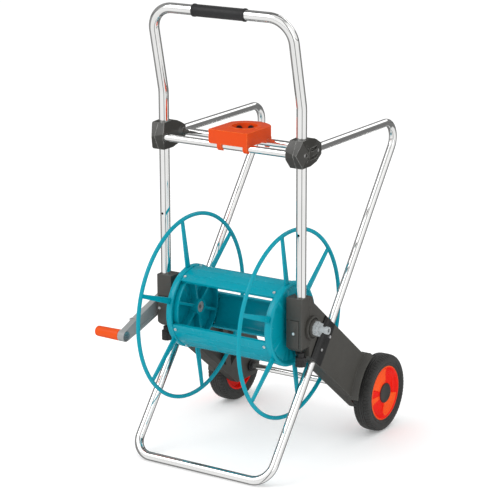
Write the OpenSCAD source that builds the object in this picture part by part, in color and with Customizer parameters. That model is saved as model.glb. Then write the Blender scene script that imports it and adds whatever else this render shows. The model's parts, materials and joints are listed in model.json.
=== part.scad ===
// Garden hose reel cart: tube frame with rear stays, a crank-driven drum, a sliding hose guide, two wheels.
// X runs across the cart, from the crank (-X) to the water inlet (+X). Y runs back to the wheels, Z up.
// Inside the modules X = 0 is the cart's middle, Y = 0 the line of the posts and Z = 0 the floor.

/* [Posts and handle] */
// Half the distance between the two posts
post_half = 194; // [185:1:205]
// Outside diameter of the posts and the handle tube
post_d = 25; // [22:0.5:26]
// Wall of every frame tube
tube_wall = 1.5; // [1:0.5:2]
// Height at which the posts bend forward
kink_z = 890; // [870:5:920]
// Height of the handle tube's centre line
handle_z = 1100; // [1060:5:1140]
// How far the handle leans forward of the posts
handle_lean = 47; // [30:1:60]
// Bend radius of the handle's corners
handle_bend = 60; // [50:1:70]
// Length of the sleeve on the handle
sleeve_l = 144; // [120:1:160]

/* [Cross bars, stays and foot] */
// Height of the cross bars and of the stays' upper arms
bar_z = 782; // [760:1:800]
// Diameter of the cross bars
bar_d = 18; // [16:0.5:19]
// Front cross bar's place
bar_front_y = -25; // [-27:0.5:-24]
// Rear cross bar's place
bar_rear_y = 59; // [55:0.5:60]
// Diameter of the stay tubes
stay_d = 20; // [18:0.5:20]
// Where a stay's arm and leg would meet
stay_apex_y = 482; // [460:1:490]
// Lean of the stay's leg from upright
stay_lean = 37.2; // [36.5:0.1:37.5]
// Bend radius of the stays
stay_bend = 42; // [36:1:48]
// Diameter of the foot frame's tube
foot_d = 22; // [20:0.5:22]
// Foot bar's place
foot_y = -149; // [-153:1:-147]
// Lean of the foot frame's legs from upright
foot_lean = 38.8; // [38.4:0.1:39]
// Bend radius of the foot frame's corners
foot_bend = 48; // [40:1:56]

/* [Drum] */
// Drum axis behind the posts
drum_y = 25; // [24:0.5:26]
// Height of the drum axis
drum_z = 354; // [350:1:358]
// Radius of the flange rings' centre line
ring_r = 229; // [220:1:232]
// Thickness of the flange rings
ring_d = 10; // [8:0.5:10]
// Left ring's place
ring_left = -134; // [-138:1:-130]
// Right ring's place
ring_right = 150; // [146:1:151]
// Radius of the end discs
disc_r = 105; // [104:0.5:107]
// Radius of the winding core
core_r = 101; // [100:0.5:101]
// Half the angle that a core panel spans
panel_half = 27; // [24:1:30]

/* [Crank] */
// Length from the drum axis to the grip's axis
crank_l = 172; // [168:1:176]
// Angle of the resting crank below level
crank_drop = 17; // [14:1:20]
// Distance from the drum axis to the fold
fold_at = 121; // [118:1:123]
// Length of the grip
grip_l = 70; // [64:1:76]

/* [Wheels] */
// Diameter of the wheels
wheel_d = 198; // [190:1:200]
// Width of a tyre
tyre_w = 45; // [42:1:46]
// Outer face of a tyre from the cart's middle
wheel_out = 241; // [241:0.5:243]
// Wheel axle behind the posts
wheel_y = 343; // [340:1:346]
// Diameter of the axle
axle_d = 16; // [14:1:16]
// Radius at which the tyre sits on the rim
rim_r = 70; // [68:1:72]

/* [Hose guide] */
// Left side of the guide's box
guide_left = -40; // [-44:1:-38]
// Right side of the guide's box
guide_right = 68; // [66:1:72]
// Height of the guide's top
guide_top = 820; // [816:1:824]
// Radius of the hose opening
guide_hole_r = 32; // [30:1:35]

/* [Hidden] */
round_fn = 96;
run_gap = 0.05;       // radial running clearance of every moving fit
seat_gap = 0.1;       // gap around a tube in its fixed socket
bracket_in = 168;     // inner face of the side plates
bracket_out = 208;    // outer face of the side plates
band_tilt = 39;       // slope of the side plates
band_up = 51;         // side plate's upper edge above the axle, across the slope
band_down = 62;       // side plate's lower edge below the axle, across the slope
fender_r = 106;       // the side plate's cut-out around the tyre
fender_edge = 125;    // outer radius of the side plate's fender
housing_front = -20;
housing_rear = 17;
housing_in = 166;
housing_top = 434;
housing_low = 302;
cover_top = 380;
shaft_r = 8;
bush_r = 12;
hub_r = 20;
water_r = 4.5;
spigot_bore = 8;
spokes = [for (k = [0 : 5]) 40 + 60 * k];
panels = [100, 220, 340];
spoke_t = 5;
arm_in = -216;        // crank arm's face towards the cart
arm_t = 16;
arm_out = arm_in - arm_t;
arm_r = 20.5;
tip_r = 14;
grip_pin_r = 5;
knuckle_x = arm_out - 1;
knuckle_r = 5;
wheel_r = wheel_d / 2;
wheel_in = wheel_out - tyre_w;
screw_r = 3.6;
inlet_end = 256;
ring_edge = ring_r + ring_d / 2;
foot_top_z = 330;
stay_end_z = 262;
stay_start_y = 16;
guide_mid = [16, 34];
guide_front = -38;
guide_tub_r = 62;
guide_wall = 3;
cover_mid = [78, 306];
cover_size = [54, 110];
cover_lean = 38;

// The part's origin is on the floor, under the middle of its bounding box.
rear_end = stay_apex_y - stay_bend * (1 + sin(stay_lean)) / cos(stay_lean) + stay_bend + stay_d / 2;
front_end = drum_y - ring_edge;
left_end = arm_out - 2.5 - grip_l;
shift_x = -(left_end + inlet_end) / 2;
shift_y = -(front_end + rear_end) / 2;

// ---------- helpers ----------

function unit(v) = v / norm(v);

// Moves the cart's own frame to the part's origin.
module place() {
    translate([shift_x, shift_y, 0]) children();
}

// Draws a right-hand piece, or its mirror image on the left.
module on_side(side) {
    place() mirror([side == "left" ? 1 : 0, 0, 0]) children();
}

// Extrudes a (y, z) outline from x0 to x1.
module slab(x0, x1) {
    translate([x0, 0, 0]) rotate([90, 0, 90]) linear_extrude(x1 - x0) children();
}

// Turns a (radius, x) outline about the X axis, from the angle start through span.
module turn(start = 0, span = 360) {
    rotate([90, 0, 90]) rotate([0, 0, start]) rotate_extrude(angle = span, $fn = round_fn) children();
}

// Rod along X.
module rod_x(x0, x1, r) {
    translate([x0, 0, 0]) rotate([0, 90, 0]) cylinder(h = x1 - x0, r = r, $fn = round_fn);
}

// Columns of a frame at point o with the axes a, b and c.
module aim(a, b, c, o) {
    multmatrix([[a.x, b.x, c.x, o.x], [a.y, b.y, c.y, o.y], [a.z, b.z, c.z, o.z], [0, 0, 0, 1]]) children();
}

// Cross-section of a rod, or of a tube where a bore is given.
module section(d, bore = 0) {
    difference() {
        circle(d = d, $fn = 48);
        if (bore > 0) circle(d = bore, $fn = 48);
    }
}

// Straight rod from p to q.
module rod(p, q, d, bore = 0) {
    w = unit(q - p);
    side = abs(w.x) < 0.9 ? [1, 0, 0] : [0, 1, 0];
    u = unit(cross(side, w));
    aim(u, cross(w, u), w, p) linear_extrude(norm(q - p)) section(d, bore);
}

// Bent tube that starts at the origin along Z. Each bend is [angle, roll]: after the roll it turns to X.
module pipe(runs, bends, r, d, i = 0) {
    bore = d - 2 * tube_wall;
    linear_extrude(runs[i]) section(d, bore);
    if (i < len(bends)) {
        phi = bends[i][0];
        translate([0, 0, runs[i]]) rotate([0, 0, bends[i][1]]) {
            translate([r, 0, 0]) rotate([90, 0, 180])
                rotate_extrude(angle = phi, $fn = round_fn) translate([r, 0]) section(d, bore);
            translate([r * (1 - cos(phi)), 0, r * sin(phi)]) rotate([0, phi, 0])
                pipe(runs, bends, r, d, i + 1);
        }
    }
}

// Pan-head screw with a cross recess; its head stands on the plane z = 0.
module screw(shank) {
    difference() {
        union() {
            cylinder(h = 2, r = screw_r, $fn = 32);
            translate([0, 0, -shank]) cylinder(h = shank, r = 1.8, $fn = 32);
        }
        for (a = [0, 90]) rotate([0, 0, a]) translate([-2.2, -0.45, 1]) cube([4.4, 0.9, 2]);
    }
}

// ---------- posts and handle ----------

module post(side) {
    on_side(side) color("silver") difference() {
        rod([post_half, 0, 322], [post_half, 0, bar_z], post_d, post_d - 2 * tube_wall);
        rod([post_half, -20, 587], [post_half, 0, 587], 6);
    }
}

module post_left() { post("left"); }
module post_right() { post("right"); }

module handle_loop() {
    lean = atan(handle_lean / (handle_z - kink_z));
    upright = kink_z - bar_z - handle_bend * tan(lean / 2);
    leaning = (handle_z - kink_z) / cos(lean) - handle_bend * (1 + tan(lean / 2));
    across = 2 * (post_half - handle_bend);
    place() color("silver") aim([0, -1, 0], [1, 0, 0], [0, 0, 1], [-post_half, 0, bar_z])
        pipe([upright, leaning, across, leaning, upright],
            [[lean, 0], [90, 90], [90, 0], [lean, -90]], handle_bend, post_d);
}

module handle_sleeve() {
    place() color("#38383a") translate([0, -handle_lean, handle_z]) difference() {
        union() {
            rod_x(-sleeve_l / 2, sleeve_l / 2, post_d / 2 + 2);
            for (x = [-sleeve_l / 2, sleeve_l / 2 - 5]) rod_x(x, x + 5, post_d / 2 + 3);
        }
        rod_x(-sleeve_l, sleeve_l, post_d / 2 + 0.02);
    }
}

// ---------- junctions of post, stay and cross bars ----------

junction_side = [[-41, bar_z + 1], [-24, bar_z + 34], [14, bar_z + 36], [30, bar_z + 32], [70, bar_z + 13],
    [70, bar_z - 13], [14, bar_z - 32], [-24, bar_z - 32]];
junction_top = [[172, -37], [203, -41], [219, -13], [219, 8], [206, 70], [179, 70], [170, 26], [170, -30]];
junction_front = [[167, bar_z + 1], [178, bar_z + 37], [210, bar_z + 37], [221, bar_z + 1],
    [210, bar_z - 33], [178, bar_z - 33]];

module junction_body() {
    intersection() {
        slab(165, 222) polygon(junction_side);
        translate([0, 0, bar_z - 50]) linear_extrude(100) polygon(junction_top);
        rotate([90, 0, 0]) translate([0, 0, -100]) linear_extrude(200) polygon(junction_front);
    }
}

module junction_bores() {
    rod([post_half, 0, bar_z - 60], [post_half, 0, bar_z + 60], post_d + 2 * seat_gap);
    rod([post_half, stay_start_y - 1, bar_z], [post_half, 90, bar_z], stay_d + 2 * seat_gap);
    for (y = [bar_front_y, bar_rear_y])
        rod([150, y, bar_z], [183, y, bar_z], bar_d + 2 * seat_gap);
}

module junction_inner(side) {
    on_side(side) color("#4f504c") difference() {
        intersection() {
            junction_body();
            translate([100, -100, 700]) cube([post_half - 100, 300, 200]);
        }
        junction_bores();
    }
}

module junction_outer(side) {
    on_side(side) color("#4f504c") difference() {
        intersection() {
            junction_body();
            translate([post_half + 0.2, -100, 700]) cube([100, 300, 200]);
        }
        junction_bores();
        translate([214, -10.5, bar_z - 40]) cube([10, 3.5, 80]);
        for (z = [-14, 6]) translate([209.5, 2, bar_z + z]) cube([12, 36, 8]);
        for (p = junction_screws) translate([post_half, p.x, bar_z + p.y]) rod_x(5, 25, 2);
        for (p = junction_screws) translate([post_half, p.x, bar_z + p.y]) rod_x(p.z - post_half, 25, 4.2);
    }
}

// Each screw's place along Y, its height over the bars and the X of its seat.
junction_screws = [[-17, 0, 212], [48, 0, 208]];

module joint_left_inner() { junction_inner("left"); }
module joint_left_outer() { junction_outer("left"); }
module joint_right_inner() { junction_inner("right"); }
module joint_right_outer() { junction_outer("right"); }

module cross_bar(y) {
    place() color("silver") rod([-182, y, bar_z], [182, y, bar_z], bar_d, bar_d - 2 * tube_wall);
}

module bar_front() { cross_bar(bar_front_y); }
module bar_rear() { cross_bar(bar_rear_y); }

// ---------- stays and foot frame ----------

function stay_point(z) = [post_half, stay_apex_y - (bar_z - z) * tan(stay_lean), z];
function foot_point(z) = [post_half, foot_y + (z - foot_d / 2) * tan(foot_lean), z];

module stay(side) {
    turn_by = 90 + stay_lean;
    cut = stay_bend * tan(turn_by / 2);
    leg = (bar_z - stay_end_z) / cos(stay_lean);
    on_side(side) color("silver") aim([0, 0, -1], [-1, 0, 0], [0, 1, 0], [post_half, stay_start_y, bar_z])
        pipe([stay_apex_y - stay_start_y - cut, leg - cut], [[turn_by, 0]], stay_bend, stay_d);
}

module stay_left() { stay("left"); }
module stay_right() { stay("right"); }

module foot_frame() {
    top = foot_point(foot_top_z);
    leg = (foot_top_z - foot_d / 2) / cos(foot_lean) - foot_bend;
    across = 2 * (post_half - foot_bend);
    place() color("silver") aim([1, 0, 0], [0, -cos(foot_lean), sin(foot_lean)],
        [0, -sin(foot_lean), -cos(foot_lean)], [-top.x, top.y, top.z])
        pipe([leg, across, leg], [[90, 0], [90, 0]], foot_bend, foot_d);
}

// ---------- side plates ----------

// A point s up the plate from the axle and n across it.
function band(s, n) = [wheel_y - s * cos(band_tilt) + n * sin(band_tilt),
    wheel_r + s * sin(band_tilt) + n * cos(band_tilt)];
// Height of the line n across the plate, at y.
function band_z(y, n) = wheel_r + (n - (y - wheel_y) * sin(band_tilt)) / cos(band_tilt);

plate_front = housing_rear + 1.2;
plate_outline = [[plate_front, 431], [29, 431], [38, band_z(38, band_up)], [286, band_z(286, band_up)],
    [306, 201], [wheel_y, 197], [wheel_y + 28, 178], [wheel_y + 40, 150], [wheel_y + 40, 84],
    [wheel_y + 28, 70], [wheel_y - 62, 70], [37, band_z(37, -band_down)], [plate_front, 283]];
pocket_near = [band(70, 38), band(175, 38), band(88, -38)];
pocket_far = [band(112, -48), band(232, -48), band(232, 38), band(200, 38)];
pocket_top = [[26, 418], [60, 383], [60, 374], [26, 374]];

module tube_bores() {
    rod(stay_point(stay_end_z - 1), stay_point(470), stay_d + 2 * seat_gap);
    rod(foot_point(150), foot_point(foot_top_z + 1), foot_d + 2 * seat_gap);
}

// The clamp cover's own frame: X out of the plate, Z up along the tubes.
module at_cover() {
    translate([0, cover_mid.x, cover_mid.y]) rotate([-cover_lean, 0, 0]) children();
}

module side_plate(side) {
    on_side(side) color("#4f504c") difference() {
        union() {
            slab(bracket_in, bracket_out) polygon(plate_outline);
            translate([0, wheel_y, wheel_r]) turn(112, 62) polygon([[fender_r + 1, bracket_out - 6],
                [fender_edge, bracket_out - 6], [fender_edge, bracket_out], [fender_edge - 6, 224],
                [fender_edge - 10, 224], [fender_edge - 10, bracket_out + 4], [fender_r + 1, bracket_out]]);
        }
        translate([0, wheel_y, wheel_r]) rod_x(193, 230, fender_r);
        translate([0, wheel_y, wheel_r]) rod_x(160, 200, axle_d / 2 + seat_gap);
        translate([0, drum_y, drum_z]) rod_x(160, 210, bush_r + seat_gap);
        slab(160, 181) polygon(pocket_near);
        slab(160, 181) polygon(pocket_far);
        slab(160, 204) polygon(pocket_top);
        tube_bores();
        at_cover() translate([203, -cover_size.x / 2 - 2.5, -cover_size.y / 2 - 1])
            cube([12, cover_size.x + 5, cover_size.y + 2]);
    }
}

module side_plate_left() { side_plate("left"); }
module side_plate_right() { side_plate("right"); }

cover_screws = [[21, 20], [4, -21.5]];

module clamp_cover(side) {
    on_side(side) color("#3f403e") difference() {
        at_cover() {
            translate([203, -cover_size.x / 2, -cover_size.y / 2])
                cube([8, cover_size.x, cover_size.y]);
            intersection() {
                translate([205, -8, -cover_size.y / 2]) cylinder(h = cover_size.y, r = 9.4, $fn = 64);
                translate([205, -40, -100]) cube([20, 80, 200]);
            }
        }
        tube_bores();
        for (p = cover_screws) at_cover() translate([0, p.x, p.y]) rod_x(200, 215, 2);
    }
}

module clamp_cover_left() { clamp_cover("left"); }
module clamp_cover_right() { clamp_cover("right"); }

// ---------- housings under the posts ----------

module housing(side, cover_out) {
    floor_out = bracket_out - 8;
    floor_in = housing_in + 8;
    on_side(side) color("#4f504c") difference() {
        intersection() {
            slab(housing_in, bracket_out) polygon([[housing_front, 310], [housing_front, housing_top],
                [housing_rear, housing_top], [housing_rear, housing_low], [-12, housing_low]]);
            rotate([90, 0, 0]) translate([0, 0, -60]) linear_extrude(120)
                polygon([[floor_in, housing_low], [housing_in, 310], [housing_in, housing_top],
                    [bracket_out, housing_top], [bracket_out, 310], [floor_out, housing_low]]);
        }
        rod([post_half, 0, 322], [post_half, 0, 450], post_d + 2 * seat_gap);
        rod([post_half, 0, 290], [post_half, 0, 330], 8 + 2 * run_gap);
        translate([0, drum_y, drum_z]) rod_x(150, 210, bush_r + seat_gap);
        translate([150, housing_front - 1, 250]) cube([cover_out - 150, 3.5, cover_top - 250]);
    }
}

module housing_cover(side, cover_out, screw_x) {
    on_side(side) color("#5a5b58") difference() {
        translate([housing_in, housing_front, cover_low])
            cube([cover_out - cover_gap - housing_in, 2.5, cover_top - cover_gap - cover_low]);
        rod([screw_x, -30, 347], [screw_x, 0, 347], 4);
    }
}

cover_low = 311;
cover_gap = 1.6;
cover_out_left = 209;
cover_out_right = 201;
screw_left_x = 201;
screw_right_x = 186;

module housing_left() { housing("left", cover_out_left); }
module housing_right() { housing("right", cover_out_right); }
module housing_cover_left() { housing_cover("left", cover_out_left, screw_left_x); }
module housing_cover_right() { housing_cover("right", cover_out_right, screw_right_x); }

module frame_screws() {
    color("#c8c8c8") {
        for (side = ["left", "right"]) {
            screw_x = side == "left" ? screw_left_x : screw_right_x;
            on_side(side) {
                for (p = junction_screws)
                    translate([p.z, p.x, bar_z + p.y]) rotate([0, 90, 0]) screw(2.8);
                for (p = cover_screws)
                    at_cover() translate([211, p.x, p.y]) rotate([0, 90, 0]) screw(5);
                translate([screw_x, housing_front, 347]) rotate([90, 0, 0]) screw(2.4);
            }
        }
    }
}

// ---------- axle and bearings ----------

module axle() {
    place() color("silver") translate([0, wheel_y, wheel_r]) rod_x(-wheel_out + 5, wheel_out - 5, axle_d / 2);
}

module axle_collar(side) {
    on_side(side) color("#3a3a38") translate([0, wheel_y, wheel_r]) difference() {
        union() {
            rod_x(156, bracket_in, 12.5);
            rod_x(162, bracket_in, 15);
        }
        rod_x(130, 170, axle_d / 2 + seat_gap);
    }
}

module axle_collar_left() { axle_collar("left"); }
module axle_collar_right() { axle_collar("right"); }

module bush(side) {
    on_side(side) color("#d8d8d4") translate([0, drum_y, drum_z]) difference() {
        rod_x(housing_in, bracket_out + 1, bush_r);
        rod_x(160, 220, shaft_r + run_gap);
    }
}

module bush_left() { bush("left"); }
module bush_right() { bush("right"); }

module inlet_boss() {
    place() color("#454644") translate([0, drum_y, drum_z]) difference() {
        union() {
            rod_x(bracket_out, 212, 28);
            turn() polygon([[24.5, 211], [28, 211], [28, 215], [26, 216], [24.5, 215]]);
            rod_x(211, 221, 21);
        }
        rod_x(200, 225, 13.9);
    }
}

module inlet_fitting() {
    place() color("#a6abad") translate([0, drum_y, drum_z]) difference() {
        union() {
            rod_x(bracket_out + 1, 222, 13.8);
            rod_x(221, 227, 17);
            rod_x(227, 232, 15);
            rod_x(232, 248, 7.5);
            rod_x(248, inlet_end, 9.2);
            for (k = [0 : 5]) rotate([60 * k, 0, 0]) translate([221, -2, 13]) cube([11, 4, 5]);
        }
        rod_x(200, 218, shaft_r + run_gap);
        rod_x(210, 270, 5);
    }
}

// ---------- drum ----------

module at_drum() {
    place() color("#00a0b2") translate([0, drum_y, drum_z]) children();
}

module drum_ring(x) {
    at_drum() turn() translate([ring_r, x]) circle(d = ring_d, $fn = 48);
}

module drum_ring_left() { drum_ring(ring_left); }
module drum_ring_right() { drum_ring(ring_right); }

// Six tapered flat bars from the end disc's rim to the ring.
module drum_spokes(x) {
    inner = disc_r - 1;
    outer = ring_r - ring_d / 2 + 0.3;
    at_drum() for (a = spokes) rotate([a, 0, 0]) slab(x - spoke_t / 2, x + spoke_t / 2)
        polygon([[inner, -8], [outer, -5], [outer, 5], [inner, 8]]);
}

module drum_spokes_left() { drum_spokes(ring_left); }
module drum_spokes_right() { drum_spokes(ring_right); }

// Dished end disc drawn for the right side: x runs outwards from the winding space, the ribs face it.
module end_disc(x, out) {
    rib = 7;
    deep = 18;
    wall_in = disc_r - 19.5;
    wall_out = disc_r - 15.5;
    rib_l = wall_in + 1.5 - (hub_r - 2);
    at_drum() translate([x, 0, 0]) mirror([out < 0 ? 1 : 0, 0, 0]) difference() {
        union() {
            turn() polygon([[hub_r - 6, -1], [disc_r - 14, -1], [disc_r - 11, -6], [disc_r - 8, -8],
                [disc_r - 3, -8], [disc_r - 1.5, -7], [disc_r - 1.2, -5], [disc_r - 1.2, 4],
                [disc_r - 2.5, 7], [disc_r - 5, 8], [disc_r - 8, 8], [disc_r - 12, 5],
                [disc_r - 16, 2.5], [hub_r - 6, 2.5]]);
            rod_x(-26, 12, hub_r);
            for (a = spokes) rotate([a, 0, 0])
                translate([-deep, hub_r - 2, -rib / 2]) cube([deep, rib_l, rib]);
            turn() polygon([[wall_in, -deep], [wall_out, -deep], [wall_out, 0], [wall_in, 0]]);
        }
        rod_x(-30, 20, shaft_r + 0.02);
        rod_x(-30, -16, 14);
        for (a = spokes) rotate([a, 0, 0])
            translate([-6, disc_r - 6, -8.3]) cube([12, 12, 16.6]);
    }
    at_drum() translate([x, 0, 0]) for (a = spokes) rotate([a, 0, 0]) difference() {
        translate([-6, disc_r - 8, -8.3]) cube([12, 7, 16.6]);
        turn() polygon([[disc_r - 1, -9], [disc_r + 9, -9], [disc_r + 9, 9], [disc_r - 1, 9]]);
    }
}

module end_disc_left() { end_disc(ring_left, -1); }
module end_disc_right() { end_disc(ring_right, 1); }

core_left = ring_left + 8.5;
core_right = ring_right - 8.5;

// Curved core panel with rolled edges and three shallow stiffening beads.
module core_panel(mid) {
    edge = 2.4;
    at_drum() difference() {
        union() {
            turn(mid - panel_half, 2 * panel_half) polygon([[core_r - 9, core_left], [core_r, core_left],
                [core_r, core_right], [core_r - 9, core_right]]);
            for (a = [-14, 0, 14])
                turn(mid + a - 1, 2) polygon([[core_r - 2, core_left + 20], [core_r + 1, core_left + 23],
                    [core_r + 1, core_right - 23], [core_r - 2, core_right - 20]]);
        }
        turn(mid - panel_half + edge, 2 * (panel_half - edge)) polygon([[core_r - 12, core_left - 1],
            [core_r - 3, core_left - 1], [core_r - 3, core_right + 1], [core_r - 12, core_right + 1]]);
        for (x = [core_left + 6, core_right - 6], a = [-20, 20])
            rotate([mid + a, 0, 0]) translate([x, 0, 0]) rod([0, 70, 0], [0, 110, 0], 4);
    }
}

module core_panel_top() { core_panel(panels[0]); }
module core_panel_front() { core_panel(panels[1]); }
module core_panel_rear() { core_panel(panels[2]); }

module core_screws() {
    place() color("#c8c8c8") translate([0, drum_y, drum_z])
        for (mid = panels, x = [core_left + 6, core_right - 6], a = [-20, 20])
            rotate([mid + a, 0, 0]) translate([x, core_r, 0]) rotate([-90, 0, 0]) screw(8);
}

// The crank's shaft ends in a bored collar inside the left disc's hub.
module shaft_left() {
    end = ring_left + 24;
    place() color("silver") translate([0, drum_y, drum_z]) difference() {
        union() {
            rod_x(arm_out - 1, end, shaft_r);
            rod_x(ring_left + 16, end, 13.8);
        }
        rod_x(ring_left - 4, end + 1, 6);
    }
}

// Hollow shaft that carries the water into the drum; its inner end is an elbow socket.
module water_shaft() {
    place() color("#b9bcbc") translate([0, drum_y, drum_z]) difference() {
        union() {
            rod_x(94, 217, shaft_r);
            rod_x(94, ring_right - 27, 11);
            rotate([160, 0, 0]) rod([106, 0, 0], [106, 22, 0], 20);
        }
        rod_x(102, 220, water_r);
        rotate([160, 0, 0]) rod([106, 0, 0], [106, 30, 0], spigot_bore);
    }
}

// Barbed outlet that the wound hose pushes on to.
module hose_spigot() {
    place() color("#b9bcbc") translate([106, drum_y, drum_z]) rotate([160, 0, 0]) difference() {
        union() {
            rod([0, 22, 0], [0, 27, 0], 24);
            rod([0, 27, 0], [0, 52, 0], 14);
        }
        rod([0, 20, 0], [0, 60, 0], spigot_bore);
    }
}

// ---------- crank ----------

// The crank's own frame: Y along the arm from the drum axis, Z across it.
module at_crank() {
    translate([0, drum_y, drum_z]) rotate([180 + crank_drop, 0, 0]) children();
}

module knuckle(z0, z1) {
    translate([knuckle_x, fold_at, z0]) cylinder(h = z1 - z0, r = knuckle_r, $fn = 48);
}

module crank_arm() {
    place() color("#a6a7a6") at_crank() difference() {
        union() {
            slab(arm_out, arm_in) polygon([[0, -arm_r], [fold_at - 0.5, -18.5],
                [fold_at - 0.5, 18.5], [0, arm_r]]);
            rod_x(arm_out, arm_in, arm_r);
            rod_x(arm_in, -209.5, 14);
            knuckle(-6, 6);
        }
        rod_x(-240, -200, shaft_r + 0.02);
        slab(arm_in - 2, -200) polygon([[26, -12], [fold_at - 8, -11], [fold_at - 8, 11], [26, 12]]);
        translate([knuckle_x, fold_at, -30]) cylinder(h = 60, r = 2 + run_gap, $fn = 48);
        for (z = [-17.6, 6]) translate([knuckle_x - 8, fold_at - 7, z - 0.2]) cube([14, 20, 12.0]);
        translate([arm_out - 6, fold_at - 0.4, -20]) cube([30, 20, 14]);
        translate([arm_out - 6, fold_at - 0.4, 6]) cube([30, 20, 14]);
    }
}

module crank_tip() {
    place() color("#b4b6b7") at_crank() difference() {
        union() {
            slab(arm_out, arm_in) polygon([[fold_at + 0.5, -17], [crank_l, -tip_r],
                [crank_l, tip_r], [fold_at + 0.5, 17]]);
            translate([0, crank_l, 0]) rod_x(arm_out - 2, arm_in, tip_r);
            knuckle(-16.5, -6.5);
            knuckle(6.5, 16.5);
        }
        translate([knuckle_x - 8, fold_at - 9, -6.5]) cube([15, 15, 13]);
        translate([0, crank_l, 0]) rod_x(-250, -200, grip_pin_r + 0.02);
        translate([0, crank_l, 0]) rod_x(arm_in - 1.5, -200, 12.5);
        translate([knuckle_x, fold_at, -30]) cylinder(h = 60, r = 2, $fn = 48);
    }
}

// The grip's pin with its cover disc, and the fold's pin.
module crank_pin() {
    place() color("#8f9192") at_crank() {
        translate([0, crank_l, 0]) {
            rod_x(arm_out - 2 - grip_l + 6, arm_in - 1.5, grip_pin_r);
            rod_x(arm_in - 1.5, arm_in + 0.6, 12.2);
        }
        translate([knuckle_x, fold_at, -16]) cylinder(h = 32, r = 2, $fn = 48);
    }
}

module crank_grip() {
    base = arm_out - 2.5;
    tip = base - grip_l;
    place() color("#f26430") at_crank() translate([0, crank_l, 0]) difference() {
        turn() polygon([[0, base], [12.8, base], [13.8, base - 1.5], [13.8, base - 10], [13, tip + 6],
            [12.2, tip + 2], [10.5, tip], [0, tip]]);
        rod_x(tip + 5, base + 1, grip_pin_r + run_gap);
    }
}

// ---------- wheels ----------

module at_wheel(side) {
    on_side(side) translate([0, wheel_y, wheel_r]) children();
}

module tyre(side) {
    at_wheel(side) color("#343534") turn() polygon([
        [rim_r, wheel_in + 4], [rim_r + 4, wheel_in + 1.5], [wheel_r - 12, wheel_in],
        [wheel_r - 5, wheel_in + 1], [wheel_r - 1, wheel_in + 5], [wheel_r, wheel_in + 10],
        [wheel_r, wheel_out - 10], [wheel_r - 1, wheel_out - 5], [wheel_r - 5, wheel_out - 1],
        [wheel_r - 12, wheel_out],
        [rim_r + 9, wheel_out - 1.5], [rim_r + 4, wheel_out - 4], [rim_r, wheel_out - 4]]);
}

module tyre_left() { tyre("left"); }
module tyre_right() { tyre("right"); }

module rim(side) {
    hub_face = wheel_out - 5.5;
    at_wheel(side) color("#f04010") {
        turn() polygon([[axle_d / 2 + run_gap, wheel_in + 2], [17, wheel_in + 2], [17, 224],
            [rim_r - 8, 216], [rim_r - 4, 214], [rim_r - 4, wheel_in + 4], [rim_r, wheel_in + 4],
            [rim_r, wheel_out - 5], [rim_r - 2.5, wheel_out - 2.5], [rim_r - 6, wheel_out - 4],
            [rim_r - 14, 228], [34, 230], [27, hub_face], [axle_d / 2 + run_gap, hub_face]]);
        for (k = [0 : 5]) rotate([60 * k, 0, 0])
            translate([wheel_in + 4, 15, -1.5]) cube([22, rim_r - 18, 3]);
    }
}

module rim_left() { rim("left"); }
module rim_right() { rim("right"); }

module hub_cap(side) {
    at_wheel(side) color("#5a5c5a") turn() polygon([[0, wheel_out - 4.5], [20, wheel_out - 4.5],
        [20, wheel_out - 5.5], [25.5, wheel_out - 5.5], [25, wheel_out - 2.5], [21, wheel_out],
        [0, wheel_out + 1.5]]);
}

module hub_cap_left() { hub_cap("left"); }
module hub_cap_right() { hub_cap("right"); }

// ---------- hose guide ----------

guide_low = 787;
saddles = [[-17, -5], [55, 67]];

// The guide's plan: a straight front and sides, and a round back.
module guide_shell(inset, z0, z1) {
    width = guide_right - guide_left - 2 * inset;
    translate([0, 0, z0]) linear_extrude(z1 - z0) intersection() {
        translate([guide_left + inset, guide_front + inset]) square([width, 150]);
        union() {
            translate([guide_left, guide_front])
                square([guide_right - guide_left, guide_mid.y - guide_front]);
            translate(guide_mid) circle(r = guide_tub_r - inset, $fn = round_fn);
        }
    }
}

module guide_clip(y, x0, x1, open_at) {
    translate([x0, y, bar_z]) difference() {
        union() {
            rotate([0, 90, 0]) cylinder(h = x1 - x0, r = bar_d / 2 + 3.5, $fn = 64);
            translate([0, -bar_d / 2 - 3.5, 0]) cube([x1 - x0, bar_d + 7, 12]);
        }
        translate([-1, open_at > 0 ? -1 : -20, -20]) cube([x1 - x0 + 2, 21, 20]);
    }
}

module guide_body() {
    block_h = guide_top - guide_low - 1;
    place() color("#ec4a1c") difference() {
        union() {
            difference() {
                union() {
                    guide_shell(0, guide_low, guide_top);
                    translate([guide_mid.x, guide_mid.y, guide_top - 1])
                        cylinder(h = 2.5, r = guide_hole_r + 8, $fn = round_fn);
                }
                difference() {
                    guide_shell(guide_wall, guide_low - 1, guide_top - guide_wall);
                    translate([guide_mid.x, guide_mid.y, 700])
                        cylinder(h = 200, r = guide_hole_r + guide_wall, $fn = round_fn);
                }
            }
            for (s = saddles)
                translate([s[0], guide_front + 1, guide_low]) cube([s[1] - s[0], 34, block_h]);
            for (s = saddles) translate([s[0], 52, guide_low]) cube([s[1] - s[0], 18, block_h]);
            for (s = saddles) guide_clip(bar_front_y, s[0], s[1], 1);
            for (s = saddles) guide_clip(bar_rear_y, s[0], s[1], -1);
        }
        translate([guide_mid.x, guide_mid.y, 700]) cylinder(h = 200, r = guide_hole_r, $fn = round_fn);
        for (y = [bar_front_y, bar_rear_y]) translate([0, y, bar_z]) rod_x(-100, 100, bar_d / 2 + run_gap);
    }
}

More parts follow.
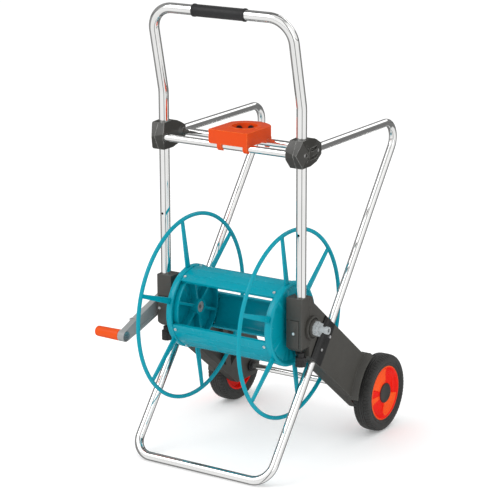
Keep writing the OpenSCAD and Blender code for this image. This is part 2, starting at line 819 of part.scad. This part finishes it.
// Two dark pads that the hose rubs on, at the back of the opening.
module guide_pads() {
    place() color("#2b2b2b") for (a = [94, 150])
        translate([guide_mid.x, guide_mid.y, guide_top - 12]) rotate([0, 0, a]) difference() {
            rod_x(guide_hole_r - 3, guide_hole_r + 1, 8);
            translate([0, 0, -20]) difference() {
                cylinder(h = 40, r = 60, $fn = round_fn);
                translate([0, 0, -1]) cylinder(h = 42, r = guide_hole_r, $fn = round_fn);
            }
        }
}

// ---------- clamp knobs ----------

module knob(side) {
    on_side(side) color("#262626") translate([post_half, 0, 0]) difference() {
        union() {
            translate([0, 0, 288]) cylinder(h = 32, r = 4, $fn = 48);
            translate([0, 0, 282]) cylinder(h = 14, r = 9, $fn = 48);
            translate([0, 0, 262]) cylinder(h = 23, r = 13, $fn = 48);
        }
        for (k = [0 : 11]) rotate([0, 0, 30 * k])
            translate([13.9, 0, 258]) cylinder(h = 24, r = 2, $fn = 24);
    }
}

module knob_left() { knob("left"); }
module knob_right() { knob("right"); }

post_left();
post_right();
handle_loop();
handle_sleeve();
joint_left_inner();
joint_left_outer();
joint_right_inner();
joint_right_outer();
bar_front();
bar_rear();
stay_left();
stay_right();
foot_frame();
housing_left();
housing_right();
housing_cover_left();
housing_cover_right();
side_plate_left();
side_plate_right();
clamp_cover_left();
clamp_cover_right();
frame_screws();
axle();
axle_collar_left();
axle_collar_right();
bush_left();
bush_right();
inlet_boss();
inlet_fitting();
drum_ring_left();
drum_ring_right();
drum_spokes_left();
drum_spokes_right();
end_disc_left();
end_disc_right();
core_panel_top();
core_panel_front();
core_panel_rear();
core_screws();
shaft_left();
water_shaft();
hose_spigot();
crank_arm();
crank_tip();
crank_pin();
crank_grip();
tyre_left();
tyre_right();
rim_left();
rim_right();
hub_cap_left();
hub_cap_right();
guide_body();
guide_pads();
knob_left();
knob_right();
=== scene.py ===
import json
import math
import bpy
import bmesh
from mathutils import Matrix, Vector


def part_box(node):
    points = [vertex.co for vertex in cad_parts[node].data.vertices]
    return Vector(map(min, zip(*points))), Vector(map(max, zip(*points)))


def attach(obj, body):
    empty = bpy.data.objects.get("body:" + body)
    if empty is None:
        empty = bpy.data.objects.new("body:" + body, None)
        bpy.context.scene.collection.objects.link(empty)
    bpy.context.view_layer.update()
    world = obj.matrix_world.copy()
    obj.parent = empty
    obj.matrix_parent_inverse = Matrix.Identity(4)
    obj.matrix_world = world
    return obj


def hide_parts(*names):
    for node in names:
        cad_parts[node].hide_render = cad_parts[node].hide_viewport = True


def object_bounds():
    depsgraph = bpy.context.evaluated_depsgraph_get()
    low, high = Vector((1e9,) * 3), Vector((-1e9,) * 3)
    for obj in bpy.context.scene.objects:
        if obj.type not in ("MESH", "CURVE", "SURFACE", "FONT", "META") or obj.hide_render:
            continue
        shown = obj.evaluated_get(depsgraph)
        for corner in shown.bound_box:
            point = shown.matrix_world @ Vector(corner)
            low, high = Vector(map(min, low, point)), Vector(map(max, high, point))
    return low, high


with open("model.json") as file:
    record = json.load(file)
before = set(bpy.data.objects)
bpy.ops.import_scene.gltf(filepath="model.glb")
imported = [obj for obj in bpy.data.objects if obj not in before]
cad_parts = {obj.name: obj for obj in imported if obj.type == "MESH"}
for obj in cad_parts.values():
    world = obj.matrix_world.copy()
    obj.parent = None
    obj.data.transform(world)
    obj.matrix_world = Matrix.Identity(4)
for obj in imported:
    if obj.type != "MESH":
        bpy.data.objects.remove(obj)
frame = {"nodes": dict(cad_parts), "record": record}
cad_lo, cad_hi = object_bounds()
record = frame["record"]

# ---------- places taken from the frame ----------


def middle(node):
    lo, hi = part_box(node)
    return (lo + hi) / 2


post_l, post_r = middle("post_left"), middle("post_right")
# Middle of the cart on the post line, on the floor
CART = Vector(((post_l.x + post_r.x) / 2, post_l.y, 0.0))
WHEEL_R = (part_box("tyre_right")[1].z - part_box("tyre_right")[0].z) / 2
WHEEL = {"left": middle("tyre_left"), "right": middle("tyre_right")}
SIGN = {"left": -1.0, "right": 1.0}
MM = 0.001

# ---------- node materials ----------

MIX_FACTOR, MIX_A, MIX_B, MIX_RESULT = 0, 6, 7, 2      # sockets of a Mix node that is set to colour
EDGE_WEAR_HIGHLIGHT_REACH = 0.0022      # how far from an edge the paler line of wear and painted highlight goes, in metres
EDGE_WEAR_HIGHLIGHT_SAMPLES = 6
EDGE_WEAR_HIGHLIGHT_AMOUNT = 0.7


class Look:
    """A Principled material whose colour, roughness and bump come from procedural nodes."""

    def __init__(self, name, **fixed):
        self.mat = bpy.data.materials.new(name)
        self.mat.use_nodes = True
        self.t = self.mat.node_tree
        self.bsdf = self.t.nodes["Principled BSDF"]
        for key, value in fixed.items():
            self.bsdf.inputs[key.replace("_", " ")].default_value = value
        self.coord = self.t.nodes.new("ShaderNodeTexCoord").outputs["Object"]
        self.height = None

    def node(self, kind, **values):
        n = self.t.nodes.new(kind)
        for key, value in values.items():
            if key in n.inputs:
                n.inputs[key].default_value = value
            else:
                setattr(n, key, value)
        return n

    def link(self, a, b):
        self.t.links.new(a, b)

    def noise(self, scale, detail=4.0, rough=0.5, stretch=None):
        n = self.node("ShaderNodeTexNoise", Scale=scale, Detail=detail, Roughness=rough)
        source = self.coord
        if stretch:
            m = self.node("ShaderNodeMapping", Scale=stretch)
            self.link(self.coord, m.inputs["Vector"])
            source = m.outputs["Vector"]
        self.link(source, n.inputs["Vector"])
        return n.outputs["Fac"]

    def ramp(self, fac, stops):
        n = self.node("ShaderNodeValToRGB")
        self.link(fac, n.inputs["Fac"])
        cr = n.color_ramp
        while len(cr.elements) < len(stops):
            cr.elements.new(0.5)
        for e, (pos, col) in zip(cr.elements, stops):
            e.position = pos
            e.color = (*col, 1.0)
        return n.outputs["Color"]

    def spread(self, fac, lo, hi, a=0.3, b=0.7):
        n = self.node("ShaderNodeMapRange", **{"From Min": a, "From Max": b, "To Min": lo, "To Max": hi})
        self.link(fac, n.inputs["Value"])
        return n.outputs["Result"]

    def product(self, a, b):
        n = self.node("ShaderNodeMath", operation="MULTIPLY")
        self.link(a, n.inputs[0])
        self.link(b, n.inputs[1])
        return n.outputs["Value"]

    def mix(self, fac, a, b):
        n = self.node("ShaderNodeMix", data_type="RGBA")
        for i, v in ((MIX_FACTOR, fac), (MIX_A, a), (MIX_B, b)):
            if isinstance(v, tuple):
                n.inputs[i].default_value = (*v, 1.0)
            else:
                self.link(v, n.inputs[i])
        return n.outputs[MIX_RESULT]

    def colour(self, out):
        self.link(out, self.bsdf.inputs["Base Color"])

    def rough(self, out):
        self.link(out, self.bsdf.inputs["Roughness"])

    def bump(self, height, strength, distance):
        n = self.node("ShaderNodeBump", Strength=strength, Distance=distance)
        self.link(height, n.inputs["Height"])
        if self.height is not None:
            self.link(self.height, n.inputs["Normal"])
        self.height = n.outputs["Normal"]
        self.link(self.height, self.bsdf.inputs["Normal"])

    def edge_wear_and_highlight(self, colour, tint):
        """Lightens a narrow line along every edge, broken up by noise: partly wear, partly painted highlight
        where edges catch the light.
        """
        flat = self.node("ShaderNodeNewGeometry")
        rounded = self.node("ShaderNodeBevel", Radius=EDGE_WEAR_HIGHLIGHT_REACH)
        rounded.samples = EDGE_WEAR_HIGHLIGHT_SAMPLES
        dot = self.node("ShaderNodeVectorMath", operation="DOT_PRODUCT")
        self.link(flat.outputs["Normal"], dot.inputs[0])
        self.link(rounded.outputs["Normal"], dot.inputs[1])
        edge = self.spread(dot.outputs["Value"], EDGE_WEAR_HIGHLIGHT_AMOUNT, 0.0, 0.86, 0.99)
        broken = self.product(edge, self.spread(self.noise(90.0, 5.0), 0.2, 1.0, 0.35, 0.6))
        return self.mix(broken, colour, tint)


def scaled(col, k):
    return tuple(min(1.0, c * k) for c in col)


def plastic(name, col, rough, vary, grain=1400.0, bump=0.25, distance=0.00012, edge=None, specular=0.5):
    """Moulded plastic: a faint mottle, fine spark-eroded grain and slightly paler edges, partly wear and
    partly painted highlight.
    """
    k = Look(name, Specular_IOR_Level=specular)
    mottle = k.noise(14.0, 3.0)
    base = k.ramp(mottle, [(0.3, scaled(col, 1 - vary)), (0.7, scaled(col, 1 + vary))])
    if edge:
        base = k.edge_wear_and_highlight(base, edge)
    k.colour(base)
    k.rough(k.spread(k.noise(45.0, 4.0), rough - 0.06, rough + 0.06))
    k.bump(k.noise(grain, 2.0), bump, distance)
    return k.mat


def metal(name, col, rough, streak, scale, vary=0.06, bump=0.04):
    """Drawn or machined metal with fine streaks."""
    k = Look(name, Metallic=1.0)
    k.colour(k.ramp(k.noise(9.0, 3.0), [(0.3, scaled(col, 1 - vary)), (0.7, scaled(col, 1 + vary))]))
    k.rough(k.spread(k.noise(scale, 4.0, stretch=streak), rough * 0.7, rough * 1.4))
    k.bump(k.noise(scale * 1.5, 2.0, stretch=streak), bump, 0.00005)
    return k.mat


GREY = (0.056, 0.054, 0.048)
DARK_GREY = (0.028, 0.027, 0.023)
TEAL = (0.0, 0.302, 0.388)
ORANGE = (0.68, 0.060, 0.003)
# edge= colours are paler lines along the edges: partly wear, partly painted highlight, brightest on the guide
# and the junctions
looks = {
    "chrome_tube": metal("bright_chrome", (0.90, 0.90, 0.89), 0.035, (6.0, 6.0, 0.6), 220.0, 0.04, 0.02),
    "grey_plastic": plastic("grey_moulding", GREY, 0.45, 0.07, edge=(0.14, 0.14, 0.13), specular=0.4),
    "joint_plastic": plastic("joint_moulding", DARK_GREY, 0.34, 0.08, edge=(0.45, 0.45, 0.43),
                             specular=0.55),
    "dark_plastic": plastic("dark_moulding", (0.014, 0.014, 0.014), 0.36, 0.12, edge=(0.07, 0.07, 0.07),
                            specular=0.4),
    "bearing_plastic": plastic("bearing_moulding", (0.72, 0.72, 0.68), 0.35, 0.04),
    "pale_plastic": plastic("pale_moulding", (0.40, 0.43, 0.44), 0.35, 0.05, edge=(0.6, 0.62, 0.63)),
    "teal_plastic": plastic("teal_moulding", TEAL, 0.22, 0.03, 1100.0, 0.03, edge=(0.03, 0.45, 0.55),
                            specular=0.22),
    "teal_lacquer": plastic("teal_lacquer", TEAL, 0.22, 0.03, 260.0, 0.03, 0.0001, specular=0.22),
    "crank_plastic": plastic("crank_moulding", (0.30, 0.31, 0.31), 0.34, 0.05, edge=(0.5, 0.5, 0.5)),
    "grip_orange": plastic("grip_moulding", (0.76, 0.080, 0.004), 0.36, 0.04, edge=(0.90, 0.16, 0.03),
                           specular=0.2),
    "guide_orange": plastic("guide_moulding", ORANGE, 0.34, 0.03, 1200.0, 0.08, edge=(1.0, 0.28, 0.06),
                            specular=0.2),
    "cap_grey": plastic("cap_moulding", (0.035, 0.033, 0.030), 0.42, 0.10, edge=(0.12, 0.12, 0.12),
                        specular=0.4),
    "shaft_metal": metal("turned_metal", (0.62, 0.62, 0.62), 0.25, (0.4, 8.0, 8.0), 400.0),
    "collar_metal": plastic("satin_collar", (0.34, 0.34, 0.34), 0.35, 0.05, edge=(0.6, 0.6, 0.6)),
    "screw_steel": metal("zinc_plate", (0.92, 0.92, 0.92), 0.42, (1.0, 1.0, 1.0), 500.0),
}


def rubber(name, col, rough, grain, bump):
    """Rubber with a dusty mottle, edges lightened partly as wear and partly as painted highlight, and a
    coarse grain.
    """
    k = Look(name, Specular_IOR_Level=0.35, Sheen_Weight=0.12, Sheen_Roughness=0.5)
    dust = k.noise(26.0, 5.0, 0.6)
    base = k.ramp(dust, [(0.35, scaled(col, 0.85)), (0.75, scaled(col, 1.25))])
    # paler edge line: wear and painted highlight
    k.colour(k.edge_wear_and_highlight(base, scaled(col, 2.6)))
    k.rough(k.spread(k.noise(70.0, 4.0), rough - 0.08, rough + 0.06))
    k.bump(k.noise(grain, 3.0, 0.6), bump, 0.0002)
    return k.mat


looks["tyre"] = rubber("tyre_rubber", (0.020, 0.020, 0.019), 0.62, 1500.0, 0.3)
looks["sleeve"] = rubber("sleeve_rubber", (0.010, 0.010, 0.011), 0.5, 900.0, 0.5)


def rim_look(name, low, high):
    """Red rim plastic, or the paler orange copy of it that paints the petals' highlight, with a little depth
    of colour.
    """
    k = Look(name, Specular_IOR_Level=0.18)
    k.colour(k.ramp(k.noise(18.0, 3.0), [(0.3, low), (0.7, high)]))
    k.rough(k.spread(k.noise(60.0, 4.0), 0.26, 0.36))
    k.bump(k.noise(1200.0, 2.0), 0.12, 0.0001)
    return k.mat


looks["rim_red"] = rim_look("rim_moulding", (0.80, 0.006, 0.001), (0.86, 0.010, 0.001))
# Paler orange copy of the rim colour: painted highlight on the raised petals, also used on the bead
rim_painted_highlight = rim_look("rim_petal_moulding", (0.92, 0.085, 0.008), (0.96, 0.105, 0.012))

# ---------- carried-over CAD nodes ----------


def smooth_group(degrees):
    """Geometry nodes that shade smoothly and keep edges sharper than the angle."""
    g = bpy.data.node_groups.new(f"smooth_{degrees}", "GeometryNodeTree")
    g.interface.new_socket("Geometry", in_out="INPUT", socket_type="NodeSocketGeometry")
    g.interface.new_socket("Geometry", in_out="OUTPUT", socket_type="NodeSocketGeometry")
    n = g.nodes
    enter, leave = n.new("NodeGroupInput"), n.new("NodeGroupOutput")
    faces, edges = n.new("GeometryNodeSetShadeSmooth"), n.new("GeometryNodeSetShadeSmooth")
    angle, test = n.new("GeometryNodeInputMeshEdgeAngle"), n.new("FunctionNodeCompare")
    faces.domain, edges.domain = "FACE", "EDGE"
    test.data_type, test.operation = "FLOAT", "GREATER_THAN"
    test.inputs[1].default_value = math.radians(degrees)
    faces.inputs["Shade Smooth"].default_value = True
    edges.inputs["Shade Smooth"].default_value = False
    g.links.new(enter.outputs[0], faces.inputs["Geometry"])
    g.links.new(faces.outputs[0], edges.inputs["Geometry"])
    g.links.new(angle.outputs["Unsigned Angle"], test.inputs[0])
    g.links.new(test.outputs[0], edges.inputs["Selection"])
    g.links.new(edges.outputs[0], leave.inputs[0])
    return g


SMOOTH_ANGLE, FACET_ANGLE = 32, 9      # edges sharper than this stay sharp, in degrees
SMOOTH, FACETED = smooth_group(SMOOTH_ANGLE), smooth_group(FACET_ANGLE)
BENT = ("handle_loop", "stay_", "foot_frame")      # tubes that keep the CAD's own exact normals
CROWDED = ("side_plate", "end_disc")      # pieces whose faces turn black when they are joined
WELD_REACH = 2e-6      # vertices nearer than this become one, in metres
FLAT_ANGLE = 0.6      # faces that meet flatter than this become one, in degrees


def dress(obj, width=0.0, segments=3, limit=30.0, shading=SMOOTH):
    """Joins the tessellated faces, rounds the edges and shades the curved faces smoothly."""
    weld = obj.modifiers.new("weld", "WELD")
    weld.merge_threshold = WELD_REACH
    if width:
        if not obj.name.startswith(CROWDED):
            flat = obj.modifiers.new("flat", "DECIMATE")
            flat.decimate_type = "DISSOLVE"
            flat.angle_limit = math.radians(FLAT_ANGLE)
            flat.delimit = {"SHARP"}
        bevel = obj.modifiers.new("bevel", "BEVEL")
        bevel.width = width
        bevel.segments = segments
        bevel.limit_method = "ANGLE"
        bevel.angle_limit = math.radians(limit)
        bevel.use_clamp_overlap = True
        bevel.miter_outer = "MITER_ARC"
    smooth = obj.modifiers.new("smooth", "NODES")
    smooth.node_group = shading


OWN_LOOK = {"shaft_left": "collar_metal"}
slot_of = {p["node"]: p["material_slot"] for p in record["subparts"]}
# Width of the rounded edges, in metres, by the start of the node's name
EDGE = {
    "joint": 0.0007, "housing": 0.0022, "side_plate": 0.0014, "clamp_cover": 0.0012, "guide_body": 0.0016,
    "crank_arm": 0.0014, "crank_tip": 0.0014, "drum_spokes": 0.0009, "end_disc": 0.0008,
    "core_panel": 0.0008, "inlet": 0.0005, "knob": 0.0006, "hub_cap": 0.0008, "crank_grip": 0.0010,
    "frame_screws": 0.0004, "core_screws": 0.0004, "axle_collar": 0.0008, "handle_sleeve": 0.0008,
}
for name, obj in frame["nodes"].items():
    obj.data.materials.clear()
    look = "joint_plastic" if name.startswith("joint_") else OWN_LOOK.get(name, slot_of[name])
    obj.data.materials.append(looks[look])
    if name.startswith(BENT):
        continue
    if "custom_normal" in obj.data.attributes:
        obj.data.attributes.remove(obj.data.attributes["custom_normal"])
    width = next((w for k, w in EDGE.items() if name.startswith(k)), 0.0)
    if name.startswith("joint_"):
        dress(obj, width, 2, float(FACET_ANGLE), FACETED)
    else:
        dress(obj, width)

# ---------- modelled pieces ----------


def new_piece(name, bm, body, slot, replaces=()):
    bmesh.ops.recalc_face_normals(bm, faces=bm.faces[:])
    me = bpy.data.meshes.new(name)
    bm.to_mesh(me)
    bm.free()
    obj = bpy.data.objects.new(name, me)
    bpy.context.collection.objects.link(obj)
    me.materials.append(looks[slot])
    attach(obj, body)
    if replaces:
        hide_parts(*replaces)
    return obj


def lathe(profile, steps, shape):
    """Closed (radius, x) profile turned about X. shape(i, k, radius, x) moves the k-th point at step i."""
    bm = bmesh.new()
    rings = []
    for i in range(steps):
        t = 2 * math.pi * i / steps
        ring = []
        for k, (r, x) in enumerate(profile):
            r, x = shape(i, k, r, x)
            ring.append(bm.verts.new((x * MM, r * MM * math.cos(t), r * MM * math.sin(t))))
        rings.append(ring)
    for i in range(steps):
        a, b = rings[i], rings[(i + 1) % steps]
        for k in range(len(profile)):
            n = (k + 1) % len(profile)
            bm.faces.new((a[k], a[n], b[n], b[k]))
    return bm


def to_wheel(bm, side):
    """From wheel space, x outwards from the cart's middle, to the frame."""
    centre = WHEEL[side]
    for v in bm.verts:
        x = v.co.x * SIGN[side]
        v.co = Vector((CART.x + x, centre.y + v.co.y, centre.z + v.co.z))


TYRE_IN, TYRE_OUT = 196.0, 241.0      # the tyre's side faces, from the cart's middle, in millimetres
TREAD = WHEEL_R / MM
RIM_SEAT = 70.0
LUGS, LUG_STEPS = 66, 6      # shoulder lugs, and turning steps to each
# How deep the gap between two lugs is, at each profile point from LUG_FIRST on
LUG_DEPTH = (0.5, 1.1, 1.5, 1.6, 1.5)
LUG_FIRST = 12
LUG_SIDE = 0.5
# The tyre's outer side wall from bead to middle of tread: radius, and place from its side face
TYRE_WALL = [
    (RIM_SEAT, -4.0), (RIM_SEAT + 1.5, -3.2), (RIM_SEAT + 3, -3.4), (RIM_SEAT + 4, -1.8),
    (RIM_SEAT + 7, -1.3), (RIM_SEAT + 8, -2.2), (RIM_SEAT + 9, -2.2), (RIM_SEAT + 10, -0.9),
    (RIM_SEAT + 14, -0.1), (RIM_SEAT + 18, -0.1), (TREAD - 8.5, -0.7), (TREAD - 7.5, -1.0),
    (TREAD - 6.8, -0.8), (TREAD - 4.5, -2.2), (TREAD - 2.0, -4.6), (TREAD - 0.7, -8.0),
    (TREAD - 0.3, -11.5), (TREAD - 1.6, -12.0), (TREAD - 1.6, -13.6), (TREAD, -14.0), (TREAD, -17.5),
    (TREAD - 1.4, -18.0), (TREAD - 1.4, -19.4), (TREAD, -19.8),
]
RIM_STEPS = 180
# Profile of the rim's dished face, and of its back, from the tyre's outer side face
RIM_FACE = [
    (27.0, -5.6), (28.5, -7.5), (31.0, -9.0), (34.0, -10.3), (38.0, -11.4), (43.0, -12.3),
    (48.0, -13.0), (53.0, -13.2), (57.0, -12.6), (60.0, -10.8), (62.0, -8.0), (63.5, -5.4),
    (65.0, -4.2), (67.0, -3.1), (68.6, -3.4), (69.9, -4.6),
]
RIM_BACK = [
    (69.9, -40.8), (66.0, -40.8), (66.0, -26.0), (60.0, -22.5), (52.0, -20.5), (34.0, -18.0),
    (20.0, -17.0), (17.0, -42.5), (8.1, -42.5), (8.1, -6.6), (20.0, -6.6), (24.0, -5.6),
]
# The raised petals, clockwise from the top, in degrees; the first two are one petal across the top
PETALS = [(-70.0, 15.0), (290.0, 375.0), (103.0, 178.0), (245.0, 268.0)]
PETAL_RISE = 4.0      # how far a petal stands out, in millimetres
RISE_IN, RISE_OUT = 29.0, 62.5      # radii where it starts and ends
RISE_IN_BLEND, RISE_OUT_BLEND = 5.0, 6.0
PETAL_BLEND = 5.0      # over how many degrees its side fades out
PETAL_IN, PETAL_OUT = 27.0, 63.0      # radii between which a petal gets the paler painted-highlight colour
FACE_DEPTH = 14.5      # only this far in from the side face do petals show
BEAD_R = 67.0      # outside this radius the rim's bead is pale


def smoothstep(x):
    x = min(1.0, max(0.0, x))
    return x * x * (3 - 2 * x)


def make_tyre(side):
    """Solid tyre: beads at the rim, bulged side walls with a moulded ring, and shoulder lugs."""
    inner = [(r, TYRE_IN - x) for r, x in reversed(TYRE_WALL)]
    profile = [(r, TYRE_OUT + x) for r, x in TYRE_WALL] + inner
    count = len(profile)

    def shape(i, k, r, x):
        near = min(k, count - 1 - k) - LUG_FIRST
        if 0 <= near < len(LUG_DEPTH):
            outer_side = k < count / 2
            phase = (i + (0 if outer_side else LUG_STEPS // 2)) % LUG_STEPS
            if phase in (0, 1):
                r -= LUG_DEPTH[near]
                x += (-LUG_SIDE if outer_side else LUG_SIDE) * (near < 3)
        return r, x

    bm = lathe(profile, LUGS * LUG_STEPS, shape)
    to_wheel(bm, side)
    piece = new_piece("tyre_tread_" + side, bm, "wheel_" + side, "tyre", replaces=["tyre_" + side])
    dress(piece)


def petal(turn):
    """1 on a raised petal, 0 between two, by the turn clockwise from the top in degrees."""
    return max(smoothstep((turn - a) / PETAL_BLEND) * smoothstep((b - turn) / PETAL_BLEND) for a, b in PETALS)


def make_rim(side):
    """Dished rim with raised petals between the hub and the bead, the petals painted paler as highlight, and
    a hub tube behind.
    """

    def shape(i, k, r, x):
        if k < len(RIM_FACE):
            ring = smoothstep((r - RISE_IN) / RISE_IN_BLEND) * smoothstep((RISE_OUT - r) / RISE_OUT_BLEND)
            x += PETAL_RISE * petal((90.0 - 360.0 * i / RIM_STEPS) % 360.0) * ring
        return r, x

    bm = lathe([(r, TYRE_OUT + x) for r, x in RIM_FACE + RIM_BACK], RIM_STEPS, shape)
    for f in bm.faces:
        mid = f.calc_center_median()
        r = math.hypot(mid.y, mid.z) / MM
        turn = (90.0 - math.degrees(math.atan2(mid.z, mid.y))) % 360.0
        # faces on the petals and the bead get the paler painted-highlight material
        on_face = mid.x / MM > TYRE_OUT - FACE_DEPTH
        if on_face and (r > BEAD_R or PETAL_IN < r < PETAL_OUT and petal(turn) > 0.5):
            f.material_index = 1
    to_wheel(bm, side)
    piece = new_piece("rim_disc_" + side, bm, "wheel_" + side, "rim_red", replaces=["rim_" + side])
    piece.data.materials.append(rim_painted_highlight)
    dress(piece)


# The hub cap's slot is drawn as a dark block on the cap: painted shade, not a recess
SLOT_W, SLOT_H = 2.6, 6.5      # size of the hub cap's slot, in millimetres
SLOT_OUT, SLOT_Y, SLOT_Z = 0.75, 4.5, -1.0      # its place from the tyre's outer side and the wheel's middle
SLOT_EDGE = 0.0004


def make_painted_slot_shade(side):
    """Dark block standing slightly proud of the hub cap beside its middle: painted shade in place of the
    slot's recess.
    """
    bm = bmesh.new()
    bmesh.ops.create_cube(bm, size=1.0)
    for v in bm.verts:
        x, y, z = v.co
        v.co = Vector((x + TYRE_OUT + SLOT_OUT, y * SLOT_W + SLOT_Y, z * SLOT_H + SLOT_Z)) * MM
    to_wheel(bm, side)
    dress(new_piece("cap_slot_" + side, bm, "wheel_" + side, "tyre"), SLOT_EDGE)


for wheel_side in ("left", "right"):
    make_tyre(wheel_side)
    make_rim(wheel_side)
    make_painted_slot_shade(wheel_side)

# ---------- floor, light and camera ----------


FLOOR_REACH = 30.0
FLOOR_GLOW = 0.16      # keeps the floor as pale as the surroundings
FLOOR_GAP = 0.0005
WHITE = (1.0, 1.0, 1.0, 1.0)


def make_floor():
    """Plain pale floor, left out of reflections so that the upright tubes show the studio."""
    bm = bmesh.new()
    bmesh.ops.create_grid(bm, x_segments=2, y_segments=2, size=FLOOR_REACH)
    me = bpy.data.meshes.new("floor")
    bm.to_mesh(me)
    bm.free()
    floor = bpy.data.objects.new("floor", me)
    bpy.context.collection.objects.link(floor)
    k = Look("floor_paper", Specular_IOR_Level=0.1)
    k.bsdf.inputs["Emission Color"].default_value = WHITE
    k.bsdf.inputs["Emission Strength"].default_value = FLOOR_GLOW
    k.colour(k.ramp(k.noise(1.5, 2.0), [(0.3, (0.90, 0.90, 0.90)), (0.7, (0.91, 0.91, 0.91))]))
    k.rough(k.spread(k.noise(3.0, 2.0), 0.75, 0.85))
    floor.data.materials.append(k.mat)
    floor.location.z = cad_lo.z - FLOOR_GAP
    floor.visible_glossy = False


make_floor()


def area_light(name, place, aim, size, power):
    data = bpy.data.lights.new(name, "AREA")
    data.shape, data.energy = "RECTANGLE", power
    data.size, data.size_y = size
    obj = bpy.data.objects.new(name, data)
    bpy.context.collection.objects.link(obj)
    obj.location = place
    obj.rotation_mode = "QUATERNION"
    obj.rotation_quaternion = (place - aim).to_track_quat("Z", "Y")


CENTRE = (cad_lo + cad_hi) / 2
# Name, place from the cart's centre, size and power in watts
LIGHTS = [
    ("key", (-1.6, -2.2, 2.6), (2.2, 2.2), 40.0),
    ("fill", (3.0, -1.6, 1.2), (1.6, 2.6), 7.0),
    ("back", (0.6, 3.0, 2.4), (2.6, 1.6), 16.0),
]
for light_name, offset, light_size, watts in LIGHTS:
    area_light(light_name, CENTRE + Vector(offset), CENTRE, light_size, watts)

# What shiny surfaces see: brightness from straight down to straight up, and round the studio from the -X
# side through -Y, +X and +Y. The dark gaps between the soft boxes draw the lines along the tubes.
LEVELS = [
    (0.0, 0.8), (0.48, 0.95), (0.49, 0.3), (0.51, 0.3), (0.52, 0.95), (0.70, 1.0), (0.90, 1.0),
    (0.93, 0.5), (0.96, 0.5), (0.98, 1.0),
]
FLAGS = [
    (0.0, 0.30), (0.075, 0.30), (0.10, 1.0), (0.335, 1.0), (0.345, 0.18), (0.375, 0.18), (0.385, 1.0),
    (0.60, 1.0), (0.63, 0.22), (0.84, 0.20), (1.0, 0.30),
]
SURROUND = (0.98, 0.98, 0.98, 1)      # what everything else sees


def make_world():
    """Even pale surroundings. Glossy rays see dark bands and flags instead, which give chrome its edges."""
    world = bpy.data.worlds.new("studio")
    world.use_nodes = True
    t = world.node_tree
    background = t.nodes["Background"]
    coord = t.nodes.new("ShaderNodeTexCoord")
    split = t.nodes.new("ShaderNodeSeparateXYZ")
    t.links.new(coord.outputs["Generated"], split.inputs[0])

    def calc(op, a, b, c=0.0):
        n = t.nodes.new("ShaderNodeMath")
        n.operation = op
        for i, v in enumerate((a, b, c)):
            if isinstance(v, float):
                n.inputs[i].default_value = v
            else:
                t.links.new(v, n.inputs[i])
        return n.outputs[0]

    def ramp(fac, stops):
        n = t.nodes.new("ShaderNodeValToRGB")
        while len(n.color_ramp.elements) < len(stops):
            n.color_ramp.elements.new(0.5)
        for e, (pos, v) in zip(n.color_ramp.elements, stops):
            e.position, e.color = pos, (v, v, v, 1)
        t.links.new(fac, n.inputs["Fac"])
        return n.outputs["Color"]

    height = calc("MULTIPLY_ADD", split.outputs["Z"], 0.5, 0.5)
    turn = calc("MULTIPLY_ADD", calc("ARCTAN2", split.outputs["Y"], split.outputs["X"]), 0.5 / math.pi, 0.5)
    level, flags = ramp(height, LEVELS), ramp(turn, FLAGS)
    both = t.nodes.new("ShaderNodeMix")
    both.data_type, both.blend_type = "RGBA", "MULTIPLY"
    both.inputs[MIX_FACTOR].default_value = 1.0
    t.links.new(level, both.inputs[MIX_A])
    t.links.new(flags, both.inputs[MIX_B])
    path = t.nodes.new("ShaderNodeLightPath")
    pick = t.nodes.new("ShaderNodeMix")
    pick.data_type = "RGBA"
    pick.inputs[MIX_A].default_value = SURROUND
    t.links.new(path.outputs["Is Glossy Ray"], pick.inputs[MIX_FACTOR])
    t.links.new(both.outputs[MIX_RESULT], pick.inputs[MIX_B])
    t.links.new(pick.outputs[MIX_RESULT], background.inputs["Color"])
    background.inputs["Strength"].default_value = 1.0
    bpy.context.scene.world = world


make_world()
bpy.context.scene.view_settings.view_transform = "Standard"

AZIMUTH, ELEVATION, ROLL = 32.68, 15.62, -0.15      # in degrees
TARGET = (51.3, 0.0, 528.3)      # from the cart's middle, in millimetres
DISTANCE = 4.830
SENSOR = 36.0
FOCAL = 4.048      # focal length in frame widths
FAR = 100.0
camera_data = bpy.data.cameras.new("camera")
camera_data.sensor_width = SENSOR
camera_data.lens = FOCAL * SENSOR
camera_data.clip_end = FAR
camera = bpy.data.objects.new("camera", camera_data)
bpy.context.collection.objects.link(camera)
bpy.context.scene.camera = camera
az, el = math.radians(AZIMUTH), math.radians(ELEVATION)
back = Vector((math.sin(az) * math.cos(el), -math.cos(az) * math.cos(el), math.sin(el)))
camera.location = CART + Vector(TARGET) * MM + back * DISTANCE
camera.rotation_mode = "QUATERNION"
roll = Matrix.Rotation(math.radians(ROLL), 3, "Z").to_quaternion()
camera.rotation_quaternion = (-back).to_track_quat("-Z", "Y") @ roll
